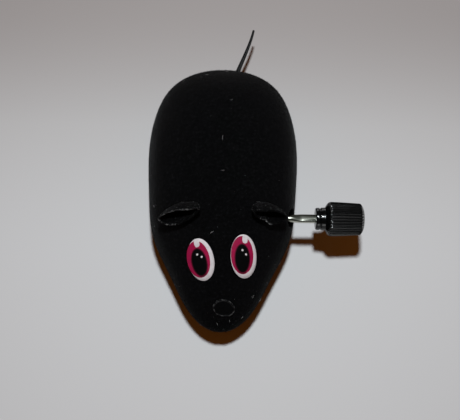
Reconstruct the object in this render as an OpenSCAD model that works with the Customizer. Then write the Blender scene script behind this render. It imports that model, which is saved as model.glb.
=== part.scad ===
// Clockwork mouse: a flocked hollow body over a base plate that carries a spring motor,
// two driven wheels and a free front roller.
// The mouse faces -Y, its winding knob is on its left side at +X, and it stands on Z = 0.

/* [Body] */
// Length of the body from nose to rump
body_len = 83; // [76:0.5:88]
// Largest width of the body
body_w = 45; // [43:0.5:50]
// Height of the back above the floor
body_h = 36; // [35:0.5:40]
// Height of the widest line at the nose
nose_z = 12; // [10:0.5:13]
// Height of the widest line at the rump
belt_z = 13; // [12:0.5:15]
// Gap between the body's lower edge and the floor
rim_z = 2; // [1.5:0.1:2.4]
// Wall thickness of the body, flock included
wall = 1.6; // [1.2:0.1:2]

/* [Base plate] */
// Thickness of the base plate
plate_t = 2; // [1.6:0.1:2]
// How far the base plate is set up inside the body's edge
plate_inset = 0.6; // [0.4:0.1:0.8]

/* [Winding] */
// Height of the winding shaft above the floor
wind_z = 19; // [18:0.5:20]
// Position of the winding shaft along the body
wind_y = -9.5; // [-10:0.5:-9]
// Diameter of the winding shaft
shaft_d = 2.2; // [2:0.1:2.4]
// Outer end of the winding knob, from the middle of the body
knob_end = 41.2; // [38:0.2:44]
// Diameter of the knob's ribbed barrel next to its collar
knob_d = 10.2; // [8:0.2:11]
// Number of ribs round the knob
knob_ribs = 36; // [24:1:40]

/* [Gear train] */
// Module of all the gears
gear_m = 0.5; // [0.5]
// Teeth of the great wheel
great_teeth = 40; // [40]
// Teeth of the idler's large gear
idler_teeth = 30; // [30]
// Teeth of both pinions
pinion_teeth = 12; // [12]
// Teeth of the ratchet wheel
ratchet_teeth = 14; // [10:1:16]

/* [Wheels] */
// Diameter of the driven wheels over their tyres
wheel_d = 15; // [14.6:0.2:15.4]
// Diameter of the front roller
roller_d = 7.8; // [7.4:0.2:8.2]
// Distance between the middles of the driven wheels
track = 25.4; // [25:0.2:25.8]

/* [Face] */
// Length of an eye along the face
eye_len = 12.1; // [10:0.1:13]
// Width of an eye
eye_w = 7.5; // [6:0.1:8.4]
// Width of an ear
ear_w = 13; // [11:0.5:14]

/* [Tail] */
// Diameter of the tail where it leaves the body
tail_d = 1.7; // [1.6:0.1:2.2]
// Diameter of the tail at its tip
tail_tip_d = 0.75; // [0.5:0.05:1]

/* [Hidden] */

$fn = 48;
e = 0.01; // overlap that makes a cut run past a face

flock_col = [0.03, 0.03, 0.03];
black_col = [0.07, 0.07, 0.07];
steel_col = [0.7, 0.7, 0.68];
nylon_col = [0.9, 0.89, 0.85];
rubber_col = [0.12, 0.12, 0.12];
brass_col = [0.78, 0.62, 0.3];
white_col = [0.95, 0.95, 0.95];

// ---- shape of the body: an ellipse in plan and from the side, times a fullness from nose to rump
width_fullness = [0.8, 0.82, 0.96, 0.985, 1.07, 1.21, 1.48];
back_fullness = [0.55, 0.72, 0.845, 0.965, 1.045, 1.035, 0.87];
section_power = 2.15; // 2 is an ellipse, more is squarer
chin_tuck = 5.3;      // how far the lower edge lies behind the nose
rump_tuck = 2.8;      // how far the lower edge lies in front of the rump
side_tuck = 0.05;     // share of the half width by which the sides draw in below
stations = 32;        // steps from nose to rump
arc_steps = 24;       // steps over the back
skirt_steps = 3;      // steps from the widest line to the lower edge

outer = [body_len, body_w, body_h];
inner = [body_len - 2 * wall, body_w - 2 * wall, body_h - wall];
middle = (outer + inner) / 2;

function mix(a, b, t) = a + (b - a) * t;
function clamp(v, lo, hi) = min(max(v, lo), hi);
// Catmull-Rom curve through equally spaced values
function curve(list, u) =
    let (last = len(list) - 1, p = clamp(u, 0, 1) * last, i = min(floor(p), last - 1), t = p - i,
         b = list[i], c = list[i + 1], a = i > 0 ? list[i - 1] : 2 * b - c,
         d = i + 2 <= last ? list[i + 2] : 2 * c - b)
    b + 0.5 * t * (c - a + t * (2 * a - 5 * b + 4 * c - d + t * (3 * (b - c) + d - a)));
function ellipse(u) = 2 * sqrt(max(u * (1 - u), 0));
function along(g, u) = g[0] * (u - 0.5);
function half_w(g, u) = g[1] / 2 * ellipse(u) * curve(width_fullness, u);
function belt(u) = mix(nose_z, belt_z, u);
function rise(g, u) = (g[2] - belt(0.6)) * ellipse(u) * curve(back_fullness, u);
function power(v) = sign(v) * pow(abs(v), 2 / section_power);
// Height of the outer surface over a point in plan
function surface_z(x, y) =
    let (u = y / body_len + 0.5, share = min(abs(x) / max(half_w(outer, u), e), 1))
    belt(u) + rise(outer, u) * pow(1 - pow(share, section_power), 1 / section_power);

function station(i) = (1 - cos(180 * i / stations)) / 2;
// A point of the cross-section at station u, at angle a from the widest line on the left
function section_point(g, u, a) = [half_w(g, u) * power(cos(a)), belt(u) + rise(g, u) * power(sin(a))];
function arc_point(g, i, j) =
    let (u = station(i), p = section_point(g, u, 180 * j / arc_steps)) [p[0], along(g, u), p[1]];
// A point of the skirt below the widest line: side is 1 or -1, depth runs from 0 to 1
function skirt_point(g, u, side, depth) =
    let (d = depth * depth)
    [side * half_w(g, u) * (1 - side_tuck * d), along(g, u) + d * mix(chin_tuck, -rump_tuck, u),
     mix(belt(u), rim_z, depth)];

// ---- vertex numbers of one skin: nose, rump, the arcs over the back, then the skirt's rings
ring_n = 2 * stations;
skin_n = 2 + (stations - 1) * (arc_steps + 1) + skirt_steps * ring_n;
function arc_id(i, j) = i == 0 ? 0 : i == stations ? 1 : 2 + (i - 1) * (arc_steps + 1) + j;
function ring_station(a) = a <= stations ? a : ring_n - a;
function ring_side(a) = a <= stations ? 1 : -1;
function ring_id(k, a) =
    k == 0 ? arc_id(ring_station(a), ring_side(a) > 0 ? 0 : arc_steps)
           : 2 + (stations - 1) * (arc_steps + 1) + (k - 1) * ring_n + a % ring_n;
function skin_points(g) = concat(
    [[0, along(g, 0), belt(0)], [0, along(g, 1), belt(1)]],
    [for (i = [1:stations - 1], j = [0:arc_steps]) arc_point(g, i, j)],
    [for (k = [1:skirt_steps], a = [0:ring_n - 1])
        skirt_point(g, station(ring_station(a)), ring_side(a), k / skirt_steps)]);
function quad(a, b, c, d) = [[a, b, c], [a, c, d]];
function flat(lists) = [for (l = lists, v = l) v];
function skin_faces() = concat(
    flat([for (i = [1:stations - 2], j = [0:arc_steps - 1])
        quad(arc_id(i, j), arc_id(i, j + 1), arc_id(i + 1, j + 1), arc_id(i + 1, j))]),
    [for (j = [0:arc_steps - 1]) [0, arc_id(1, j + 1), arc_id(1, j)]],
    [for (j = [0:arc_steps - 1]) [1, arc_id(stations - 1, j), arc_id(stations - 1, j + 1)]],
    flat([for (k = [0:skirt_steps - 1], a = [0:ring_n - 1])
        quad(ring_id(k, a), ring_id(k, (a + 1) % ring_n),
             ring_id(k + 1, (a + 1) % ring_n), ring_id(k + 1, a))]));
function shifted(faces, n) = [for (f = faces) [f[2] + n, f[1] + n, f[0] + n]];
function rim_faces() = flat([for (a = [0:ring_n - 1]) let (b = (a + 1) % ring_n)
    quad(ring_id(skirt_steps, a), ring_id(skirt_steps, b),
         ring_id(skirt_steps, b) + skin_n, ring_id(skirt_steps, a) + skin_n)]);

module skin() {
    polyhedron(concat(skin_points(outer), skin_points(inner)),
        concat(skin_faces(), shifted(skin_faces(), skin_n), rim_faces()), convexity = 6);
}

// ---- places
plate_z = rim_z + plate_inset;
plate_top = plate_z + plate_t;
shaft_r = shaft_d / 2;
wheel_r = wheel_d / 2;
roller_r = roller_d / 2;
centre_slack = 0.05;  // added to each gear pair's centre distance
run_gap = 0.05;       // radial clearance of a running fit
great_to_idler = gear_m * (great_teeth + pinion_teeth) / 2 + centre_slack;
idler_to_drive = gear_m * (idler_teeth + pinion_teeth) / 2 + centre_slack;
idler_z = 13.5;
idler_y = wind_y + sqrt(pow(great_to_idler, 2) - pow(wind_z - idler_z, 2));
drive_z = wheel_r;
drive_y = idler_y + sqrt(pow(idler_to_drive, 2) - pow(idler_z - drive_z, 2));
roller_y = -27;
front_pin_r = 0.7;
pinion_x = 4.2;       // right end of the drive pinion
pinion_len = 2.6;
frame_in = 7;         // inner faces of the two frame plates, from the middle
frame_t = 1.5;
pillars = [[-17.6, 8], [3, 25], [17.5, 16.5]];
pillar_r = 1.9;
boss_r = 2.2;
front_boss = [9, -22.5];
rear_boss = [12.5, 27];
foot_boss = [[10.2, -12.8], [10.2, -1]];
tail_root = [3.6, body_len / 2 + 0.4, 9.5]; // just outside the rump
tail_hole_r = tail_d / 2 + run_gap;
shaft_hole_r = 2.8;   // hole in the body's side for the winding shaft

// Draws its children's x as Y, y as Z and z as X, with the origin on a cross shaft
module on_shaft(y, z, x = 0) { translate([x, y, z]) rotate([90, 0, 90]) children(); }
module both() { children(); mirror([1, 0, 0]) children(); }

// ---- gears
pressure = 25;
backlash = 0.12;
function involute(base, r) = sqrt(max(pow(r / base, 2) - 1, 0)) * 180 / PI - acos(min(base / r, 1));
// Turns gear 2 so that it meshes with gear 1, which lies in direction a from it seen from gear 1
function mesh_turn(turn_1, teeth_1, teeth_2, a) =
    a + 180 + 360 / teeth_2 * (0.5 - (turn_1 - a) * teeth_1 / 360);
module gear_outline(teeth) {
    pitch_r = gear_m * teeth / 2;
    base_r = pitch_r * cos(pressure);
    tip_r = pitch_r + 0.92 * gear_m;
    root_r = pitch_r - 1.2 * gear_m;
    start_r = max(base_r, root_r);
    half = 90 / teeth - backlash / 4 / pitch_r * 180 / PI + involute(base_r, pitch_r);
    steps = 4;
    flank = [for (k = [0:steps]) let (r = mix(start_r, tip_r, k / steps)) [r, half - involute(base_r, r)]];
    root = [root_r, flank[0][1]];
    tooth = concat([[root[0], -root[1]]], [for (p = flank) [p[0], -p[1]]],
        [for (k = [steps:-1:0]) flank[k]], [root]);
    polygon([for (t = [0:teeth - 1], p = tooth)
        let (a = p[1] + 360 * t / teeth) [p[0] * cos(a), p[0] * sin(a)]]);
}
great_turn = 0;
idler_dir = atan2(idler_z - wind_z, idler_y - wind_y);
drive_dir = atan2(drive_z - idler_z, drive_y - idler_y);
idler_turn = mesh_turn(great_turn, great_teeth, pinion_teeth, idler_dir);
drive_turn = mesh_turn(idler_turn, idler_teeth, pinion_teeth, drive_dir);

// ---- body
module screw_hole(x, y, z0, z1, r) { translate([x, y, z0]) cylinder(h = z1 - z0, r = r); }
screw_r = 0.85;
head_sink = 0.9; // depth of the pocket for a screw's head
// Height of the middle of the wall over the lowest point of a boss's rim
function boss_top(b) =
    min([for (a = [0:30:330]) surface_z(b[0] + boss_r * cos(a), b[1] + boss_r * sin(a))]) - wall / 2;
// A boss hangs from the roof: a web fills the corner between it and the middle of the wall
module shell_boss(b) {
    web_t = 1.2;
    u = b[1] / middle[0] + 0.5;
    roof_a = acos(pow(b[0] / half_w(middle, u), section_power / 2));
    difference() {
        union() {
            translate([b[0], b[1], plate_top]) cylinder(h = boss_top(b) - plate_top, r = boss_r);
            translate([0, b[1] + web_t / 2, 0]) rotate([90, 0, 0]) linear_extrude(web_t)
                polygon(concat([[b[0], belt(u)]],
                    [for (k = [0:6]) section_point(middle, u, k / 6 * roof_a)]));
        }
        screw_hole(b[0], b[1], plate_top - e, plate_top + 8, screw_r);
    }
}
module body_shell() {
    color(flock_col) {
        difference() {
            skin();
            on_shaft(wind_y, wind_z, body_w / 4) cylinder(h = body_w / 2, r = shaft_hole_r);
            translate(tail_root - [0, 6, 0]) rotate([-90, 0, 0]) cylinder(h = 12, r = tail_hole_r);
        }
        both() { shell_boss(front_boss); shell_boss(rear_boss); }
    }
}

// The base plate fills the body's lower edge, and wheels, roller and screws pass through it
plate_fit = 0.25; // gap between the plate and the body
plate_edge = inner - [2 * plate_fit, 2 * plate_fit, 0];
module plate_outline() {
    polygon([for (a = [0:ring_n - 1])
        let (p = skirt_point(plate_edge, station(ring_station(a)), ring_side(a), 1)) [p[0], p[1]]]);
}
wheel_slot = [6, wheel_d + 1];
roller_slot = [6.2, 9];
module base_plate() {
    color(black_col) difference() {
        union() {
            translate([0, 0, plate_z]) linear_extrude(plate_t) plate_outline();
            both() translate([roller_slot[0] / 2, roller_y - 2, plate_z]) cube([2.6, 4, 3.7]);
        }
        both() translate([track / 2 - wheel_slot[0] / 2, drive_y - wheel_slot[1] / 2, plate_z - e])
            cube([wheel_slot[0], wheel_slot[1], plate_t + 2 * e]);
        translate([-roller_slot[0] / 2, roller_y - roller_slot[1] / 2, plate_z - e])
            cube([roller_slot[0], roller_slot[1], plate_t + 2 * e]);
        translate([pinion_x - 0.4, drive_y - 3, plate_z + 1]) cube([pinion_len + 0.8, 6, plate_t]);
        on_shaft(roller_y, roller_r, -5) cylinder(h = 10, r = front_pin_r);
        both() for (b = [front_boss, rear_boss, foot_boss[0], foot_boss[1]]) {
            screw_hole(b[0], b[1], plate_z - e, plate_top + e, screw_r + 0.15);
            screw_hole(b[0], b[1], plate_z - e, plate_z + head_sink, 1.75);
        }
    }
}

// ---- face
// A thin patch that lies on the body: x and y are its middle in plan, turn leans it in plan
patch_gap = 0.04;
patch_t = 0.45;
patch_rings = 4;
patch_sides = 36;
function patch_xy(mid, size, turn, k, a) =
    let (r = k / patch_rings, x = size[0] / 2 * r * cos(a), y = size[1] / 2 * r * sin(a))
    [mid[0] + x * cos(turn) - y * sin(turn), mid[1] + x * sin(turn) + y * cos(turn)];
function patch_layer(mid, size, turn, lift) = concat(
    [[mid[0], mid[1], surface_z(mid[0], mid[1]) + lift]],
    [for (k = [1:patch_rings], s = [0:patch_sides - 1])
        let (p = patch_xy(mid, size, turn, k, 360 * s / patch_sides))
        [p[0], p[1], surface_z(p[0], p[1]) + lift]]);
module patch(mid, size, turn) {
    n = 1 + patch_rings * patch_sides;
    function id(k, s) = k == 0 ? 0 : 1 + (k - 1) * patch_sides + s % patch_sides;
    top = concat(
        [for (s = [0:patch_sides - 1]) [0, id(1, s + 1), id(1, s)]],
        flat([for (k = [1:patch_rings - 1], s = [0:patch_sides - 1])
            quad(id(k, s), id(k, s + 1), id(k + 1, s + 1), id(k + 1, s))]));
    edge = flat([for (s = [0:patch_sides - 1])
        quad(id(patch_rings, s), id(patch_rings, s + 1),
             id(patch_rings, s + 1) + n, id(patch_rings, s) + n)]);
    points = concat(patch_layer(mid, size, turn, patch_gap + patch_t),
        patch_layer(mid, size, turn, patch_gap));
    polyhedron(points, concat(top, shifted(top, n), edge), convexity = 4);
}
face_slope = 0.9; // the face's length in plan, as a share of its length along the slope
face_tilt = 0.95; // an eye's width in plan, as a share of its width on the side of the head
eye_size = [eye_w * face_tilt, eye_len * face_slope];
nose_size = [6.1, 4.1];
module eye_left() { color(white_col) patch([6.34, -23.12], eye_size, 0.5); }
module eye_right() { color(white_col) patch([-5.4, -24.13], eye_size, 17.5); }
module nose() { color(black_col) patch([1.05, -36.1], nose_size, -4); }

// An ear is a cup of soft flocked sheet that leans forwards over its opening.
// Its mouth is rounded at the outer end and comes to a point at the inner end.
// It stands on the body's tangent plane at its root, a point in plan, and turn swings it on that plane.
ear_t = 0.8;
ear_depth = [6, 3.4]; // twice the reach of the mouth in front of and behind its long axis
ear_lift = [2.5, 4.7]; // height of the mouth's front and rear edges
ear_lean = [2.4, 3];  // how far the front and rear edges lean forwards
ear_base = 0.34;      // size of the cup's foot, as a share of its mouth
ear_pinch = 0.55;     // share by which the mouth narrows at the inner end
ear_drop = 0.9;       // how far the front edge drops towards the inner end
ear_gap = 0.05;       // between the foot and the body
ear_rings = 5;
ear_sides = 28;
function surface_normal(x, y, d = 0.2) =
    unit([surface_z(x - d, y) - surface_z(x + d, y), surface_z(x, y - d) - surface_z(x, y + d), 2 * d]);
// s runs from the foot to the lip, a round the mouth from outwards over backwards
function ear_point(root, width, turn, s, a, inset) =
    let (up = surface_normal(root[0], root[1]), back = unit(cross(up, [1, 0, 0])), out = cross(back, up),
         g = mix(ear_base, 1, sin(90 * s)), grow = 1 - cos(90 * s), rear = (1 + sin(a)) / 2,
         front = max(-sin(a), 0), inner = max(-cos(a), 0),
         lip = mix(ear_lift[0], ear_lift[1], rear) - ear_drop * front * inner,
         lift = lip * grow + ear_gap + inset * (1 - s),
         half_depth = ear_depth[sin(a) < 0 ? 0 : 1] / 2 * g * (1 - ear_pinch * inner),
         x = (width / 2 * g - inset) * cos(a),
         y = max(half_depth - inset, half_depth / 4) * sin(a) - mix(ear_lean[0], ear_lean[1], rear) * grow)
    [root[0], root[1], surface_z(root[0], root[1])] + up * lift
    + out * (x * cos(turn) - y * sin(turn)) + back * (x * sin(turn) + y * cos(turn));
function ear_layer(root, width, turn, inset) = [for (k = [0:ear_rings], i = [0:ear_sides - 1])
    ear_point(root, width, turn, k / ear_rings, 360 * i / ear_sides, inset)];
module ear(root, width, turn) {
    n = (ear_rings + 1) * ear_sides;
    function id(k, i) = k * ear_sides + i % ear_sides;
    side = concat([[for (i = [0:ear_sides - 1]) id(0, i)]],
        flat([for (k = [0:ear_rings - 1], i = [0:ear_sides - 1])
            quad(id(k, i), id(k + 1, i), id(k + 1, i + 1), id(k, i + 1))]));
    turned = [for (f = side) [for (k = [len(f) - 1:-1:0]) f[k] + n]];
    lip = flat([for (i = [0:ear_sides - 1])
        quad(id(ear_rings, i), id(ear_rings, i) + n, id(ear_rings, i + 1) + n, id(ear_rings, i + 1))]);
    polyhedron(concat(ear_layer(root, width, turn, 0), ear_layer(root, width, turn, ear_t)),
        concat(side, turned, lip), convexity = 4);
}
module ear_left() { color(flock_col) ear([12.1, -9.3], ear_w - 2, -8); }
module ear_right() { color(flock_col) mirror([1, 0, 0]) ear([10.6, -9.8], ear_w, -14); }

// ---- tail: a tapered tube along a curve, with a neck in the body's hole and a bead inside
tail_steps = 28;
tail_sides = 10;
tail_curve = [for (p = [[0, 0, 0], [0.5, 3.2, 0.3], [4.85, 9.6, 2], [5.85, 16.7, 3.2]]) tail_root + p];
function bezier(p, t) =
    pow(1 - t, 3) * p[0] + 3 * t * pow(1 - t, 2) * p[1] + 3 * t * t * (1 - t) * p[2] + pow(t, 3) * p[3];
function unit(v) = v / norm(v);
function tail_axis(t) = unit(bezier(tail_curve, min(t + 0.02, 1)) - bezier(tail_curve, max(t - 0.02, 0)));
function tail_ring(t) =
    let (axis = tail_axis(t), side = unit(cross([0, 0, 1], axis)), up = cross(axis, side),
         r = mix(tail_d, tail_tip_d, t) / 2)
    [for (s = [0:tail_sides - 1]) let (a = 360 * s / tail_sides)
        bezier(tail_curve, t) + r * cos(a) * side + r * sin(a) * up];
module tail() {
    points = flat([for (i = [0:tail_steps]) tail_ring(i / tail_steps)]);
    function id(i, s) = i * tail_sides + s % tail_sides;
    color(rubber_col) {
        polyhedron(points, concat([[for (s = [0:tail_sides - 1]) id(0, s)]],
            flat([for (i = [0:tail_steps - 1], s = [0:tail_sides - 1])
                quad(id(i, s), id(i + 1, s), id(i + 1, s + 1), id(i, s + 1))]),
            [[for (s = [tail_sides - 1:-1:0]) id(tail_steps, s)]]));
        translate(tail_root - [0, 4.6, 0]) rotate([-90, 0, 0]) cylinder(h = 4.7, r = tail_d / 2);
        translate(tail_root - [0, 4.6, 0]) rotate([-90, 0, 0]) cylinder(h = 1.2, r = 2.1);
    }
}

// ---- winding group
knob_len = 13.9;
knob_start = knob_end - knob_len;
collar_len = 3.1;
knob_bore = 11.5;
shoulder_x = [-frame_in + 0.1, -0.55, frame_in - 0.8]; // shoulders that hold the shaft and great wheel
module winding_shaft() {
    spade = [4.8, 2.5, 1.5]; // the pressed flat beside the knob
    shoulder = [0.7, 1.9];   // length and radius
    spring_peg = [-4, 0.7, 0.35]; // place, height over the shaft and radius of the peg in the spring's eye
    shaft_start = -frame_in - 1.4;
    color(steel_col) {
        on_shaft(wind_y, wind_z, shaft_start) cylinder(h = knob_start + knob_bore - shaft_start, r = shaft_r);
        translate([knob_start - spade[0], wind_y - spade[1] / 2, wind_z - spade[2] / 2]) cube(spade);
        on_shaft(wind_y, wind_z, spring_peg[0]) rotate([0, 90, 0])
            cylinder(h = shaft_r + spring_peg[1], r = spring_peg[2]);
        for (x = shoulder_x) on_shaft(wind_y, wind_z, x) cylinder(h = shoulder[0], r = shoulder[1]);
    }
}
module winding_knob() {
    barrel_len = knob_len - collar_len;
    barrel_taper = 2.4;
    end_r = knob_d / 2 - 0.45;
    rib_r = 0.3;
    color(black_col) difference() {
        on_shaft(wind_y, wind_z, knob_start) {
            rotate_extrude() polygon([[0, 0], [3.1, 0], [3.35, 0.3], [3.35, 1], [3, 1.2], [3, 1.5],
                [3.35, 1.7], [3.35, 2.5], [knob_d / 2 - 1.2, collar_len - 0.3],
                [knob_d / 2 - 0.3, collar_len + 0.7],
                [end_r - 0.3, knob_len - 0.7], [end_r - 1, knob_len], [0, knob_len]]);
            for (i = [0:knob_ribs - 1]) rotate(360 * i / knob_ribs)
                translate([knob_d / 2 - 0.4, 0, collar_len + 1]) rotate([0, -barrel_taper, 0])
                    cylinder(h = barrel_len - 2, r = rib_r, $fn = 12);
        }
        on_shaft(wind_y, wind_z, knob_start - e) cylinder(h = knob_bore + e, r = shaft_r);
    }
}
ratchet_x = 3;
ratchet_t = 1.1;
ratchet_tip = 4;
ratchet_root = 3.2;
click_tip = [3.5, 55];    // radius and angle of the point that drops behind a tooth
ratchet_phase = click_tip[1] - 1; // the steep side of a tooth faces the way the spring drives
module ratchet_wheel() {
    color(steel_col) on_shaft(wind_y, wind_z, ratchet_x) difference() {
        linear_extrude(ratchet_t) polygon([for (i = [0:ratchet_teeth - 1], k = [0, 1])
            polar([k == 0 ? ratchet_root : ratchet_tip,
                ratchet_phase + 360 * (i + 0.94 * k) / ratchet_teeth])]);
        translate([0, 0, -e]) cylinder(h = ratchet_t + 2 * e, r = shaft_r);
    }
}

// ---- great wheel group
great_x = 0.6;
great_t = 2.2;
great_hub = [0.4, 2.4];   // height over the wheel's inner face, and radius
great_hole = [6, 1.7];    // distance from the middle and radius of each round opening
click_pivot = [6.4, 115]; // radius and angle of the click's rivet on the great wheel
rivet_r = 0.8;
function polar(p) = [p[0] * cos(p[1]), p[0] * sin(p[1])];
module great_wheel() {
    color(nylon_col) on_shaft(wind_y, wind_z, great_x) difference() {
        union() {
            linear_extrude(great_t) rotate(great_turn) gear_outline(great_teeth);
            translate([0, 0, -great_hub[0]]) cylinder(h = great_t + great_hub[0], r = great_hub[1]);
        }
        translate([0, 0, -1]) cylinder(h = great_t + 2, r = shaft_r + run_gap);
        translate([polar(click_pivot)[0], polar(click_pivot)[1], -e])
            cylinder(h = great_t + 2 * e, r = rivet_r);
        for (a = [0:60:300]) if (a != 120) // the click's rivet takes one place
            rotate(a) translate([great_hole[0], 0, -e]) cylinder(h = great_t + 2 * e, r = great_hole[1]);
    }
}
module ratchet_click() {
    // a curved arm from the rivet, whose point rests behind a ratchet tooth
    rivet = polar(click_pivot);
    click_x = ratchet_x - 0.15;
    eye_r = 1.3;
    color(brass_col) on_shaft(wind_y, wind_z, 0) {
        translate([rivet[0], rivet[1], great_x]) cylinder(h = great_t + 0.3, r = rivet_r);
        translate([rivet[0], rivet[1], click_x]) cylinder(h = ratchet_t, r = eye_r);
        translate([0, 0, click_x]) linear_extrude(ratchet_t)
            polygon(concat([for (k = [0:5]) polar([4.2, mix(112, 64, k / 5)])],
                [polar(click_tip)],
                [for (k = [0:5]) polar([mix(4.6, 5.6, k / 5), mix(60, 112, k / 5)])]));
    }
}
module mainspring() {
    turns = 7;
    strip = [0.25, 5.6]; // thickness and width
    spring_x = -6.5;
    inner_r = 2.1;
    outer_r = 9;
    inner_end = 205;     // angle at which the strip starts
    opening = 1.25;      // above 1, the turns lie wider apart towards the outside
    steps = 28;
    n = turns * steps;
    spiral = [for (i = [0:n]) [mix(inner_r, outer_r, pow(i / n, opening)), 360 * i / steps + inner_end]];
    color(steel_col) on_shaft(wind_y, wind_z, spring_x) linear_extrude(strip[1])
        polygon(concat([for (p = spiral) polar(p)],
            [for (i = [n:-1:0]) polar([spiral[i][0] + strip[0], spiral[i][1]])]));
}

// ---- gear frame: the right plate carries the spring's cup and the pillars, the left plate closes it
frame_outline = [[-19.7, plate_top], [19, plate_top], [20, 16.5], [19, 18.6], [5.3, 27], [4, 27.6], [2, 27.6],
    [-12, 22.5], [-19.7, 13]];
module frame_plate() {
    difference() {
        union() {
            on_shaft(0, 0, frame_in) linear_extrude(frame_t) polygon(frame_outline);
            for (b = foot_boss) difference() {
                translate([b[0], b[1], plate_top]) cylinder(h = 6, r = boss_r);
                screw_hole(b[0], b[1], plate_top - e, plate_top + 5, screw_r);
            }
        }
        on_shaft(wind_y, wind_z, frame_in - e) cylinder(h = frame_t + 2 * e, r = shaft_r + run_gap);
        on_shaft(drive_y, drive_z, frame_in - e) cylinder(h = frame_t + 2 * e, r = axle_r + run_gap);
        on_shaft(idler_y, idler_z, frame_in - e) cylinder(h = frame_t + 2 * e, r = pin_r);
    }
}
axle_r = 1;
pin_r = 0.8;
module gear_frame_left() {
    color(nylon_col) difference() {
        frame_plate();
        for (p = pillars) on_shaft(p[0], p[1], frame_in - e) cylinder(h = frame_t + 2 * e, r = screw_r + 0.1);
    }
}
module gear_frame_right() {
    cup_in = 9.3;
    cup_out = 10.05;
    color(nylon_col) difference() {
        union() {
            mirror([1, 0, 0]) frame_plate();
            on_shaft(wind_y, wind_z, -frame_in - e) difference() {
                cylinder(h = frame_in - 0.3, r = cup_out);
                translate([0, 0, -e]) cylinder(h = frame_in, r = cup_in);
            }
            for (p = pillars)
                on_shaft(p[0], p[1], -frame_in - e) cylinder(h = 2 * frame_in + e, r = pillar_r);
        }
        for (p = pillars) on_shaft(p[0], p[1], frame_in - 5) cylinder(h = 5 + e, r = screw_r);
    }
}
// A pan-head screw along +Z with its head's underside at the origin
module screw(shank, head_r = 1.5, head_h = 0.85) {
    difference() {
        union() {
            cylinder(h = shank, r = screw_r - 0.02);
            translate([0, 0, -head_h]) cylinder(h = head_h, r = head_r);
        }
        for (a = [0, 90]) rotate(a) translate([-0.9, -0.18, -head_h - e]) cube([1.8, 0.36, 0.45]);
    }
}
module frame_screws() {
    color(steel_col) for (p = pillars)
        on_shaft(p[0], p[1], frame_in + frame_t) rotate([0, 180, 0]) screw(5);
}
module body_screws() {
    color(steel_col) both() for (b = [front_boss, rear_boss])
        translate([b[0], b[1], plate_z + head_sink]) screw(7);
}
module gearbox_screws() {
    color(steel_col) both() for (b = foot_boss) translate([b[0], b[1], plate_z + head_sink]) screw(5);
}

// ---- idler
idler_pinion_x = 0.3;
idler_pinion_len = 3.2;
idler_gear_x = 4.5;
idler_gear_t = 2;
idler_sleeve = [0.2, 1.5]; // gap to each frame plate, and radius
idler_hole = [4.5, 1.3];   // distance from the middle and radius of each round opening
module idler_pin() {
    color(steel_col) on_shaft(idler_y, idler_z, -frame_in - 1.4) cylinder(h = 2 * frame_in + 2.8, r = pin_r);
}
module idler_gear() {
    color(nylon_col) on_shaft(idler_y, idler_z, 0) difference() {
        rotate(idler_turn) union() {
            translate([0, 0, idler_pinion_x]) linear_extrude(idler_pinion_len) gear_outline(pinion_teeth);
            translate([0, 0, idler_gear_x]) linear_extrude(idler_gear_t) gear_outline(idler_teeth);
            translate([0, 0, idler_sleeve[0] - frame_in])
                cylinder(h = 2 * (frame_in - idler_sleeve[0]), r = idler_sleeve[1]);
        }
        translate([0, 0, -frame_in]) cylinder(h = 2 * frame_in, r = pin_r + run_gap);
        for (a = [0:72:288]) rotate(a)
            translate([idler_hole[0], 0, idler_gear_x - e])
                cylinder(h = idler_gear_t + 2 * e, r = idler_hole[1]);
    }
}

// ---- driven axle
axle_end = track / 2 + 2.4;
module drive_axle() {
    color(steel_col) on_shaft(drive_y, drive_z, -axle_end) cylinder(h = 2 * axle_end, r = axle_r);
}
module drive_pinion() {
    color(nylon_col) on_shaft(drive_y, drive_z, pinion_x) difference() {
        rotate(drive_turn) linear_extrude(pinion_len) gear_outline(pinion_teeth);
        translate([0, 0, -e]) cylinder(h = pinion_len + 2 * e, r = axle_r);
    }
}
hub_w = 4.2;
tyre_in = wheel_r - 1.7;
tyre_seat = 0.4;           // width of each of the rims that hold the tyre
hub_hole = [3.15, 0.75];   // distance from the middle and radius of each round opening
module wheel_hub() {
    boss_end = frame_in + frame_t + 0.2 - (track / 2 - hub_w / 2); // reaches almost to the gear frame
    color(black_col) on_shaft(drive_y, drive_z, track / 2 - hub_w / 2) difference() {
        rotate_extrude() polygon([[0, boss_end], [1.9, boss_end], [1.9, 1.2], [4.4, 1.2], [4.4, 0],
            [tyre_in + 0.5, 0], [tyre_in + 0.5, tyre_seat], [tyre_in, tyre_seat],
            [tyre_in, hub_w - tyre_seat], [tyre_in + 0.5, hub_w - tyre_seat], [tyre_in + 0.5, hub_w],
            [4.4, hub_w], [4.4, hub_w - 1.4],
            [1.9, hub_w - 1.4], [1.9, hub_w], [0, hub_w]]);
        translate([0, 0, boss_end - e]) cylinder(h = hub_w + 2 - boss_end, r = axle_r);
        for (a = [0:72:288]) rotate(a)
            translate([hub_hole[0], 0, -e]) cylinder(h = hub_w, r = hub_hole[1], $fn = 24);
    }
}
module tyre() {
    w = hub_w - 2 * tyre_seat;
    color(rubber_col) on_shaft(drive_y, drive_z, track / 2 - w / 2)
        rotate_extrude() polygon([[tyre_in, 0], [wheel_r - 0.5, 0], [wheel_r - 0.1, 0.35], [wheel_r, 0.8],
            [wheel_r, w - 0.8], [wheel_r - 0.1, w - 0.35], [wheel_r - 0.5, w], [tyre_in, w]]);
}
module wheel_hub_left() { wheel_hub(); }
module wheel_hub_right() { mirror([1, 0, 0]) wheel_hub(); }
module tyre_left() { tyre(); }
module tyre_right() { mirror([1, 0, 0]) tyre(); }

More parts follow.
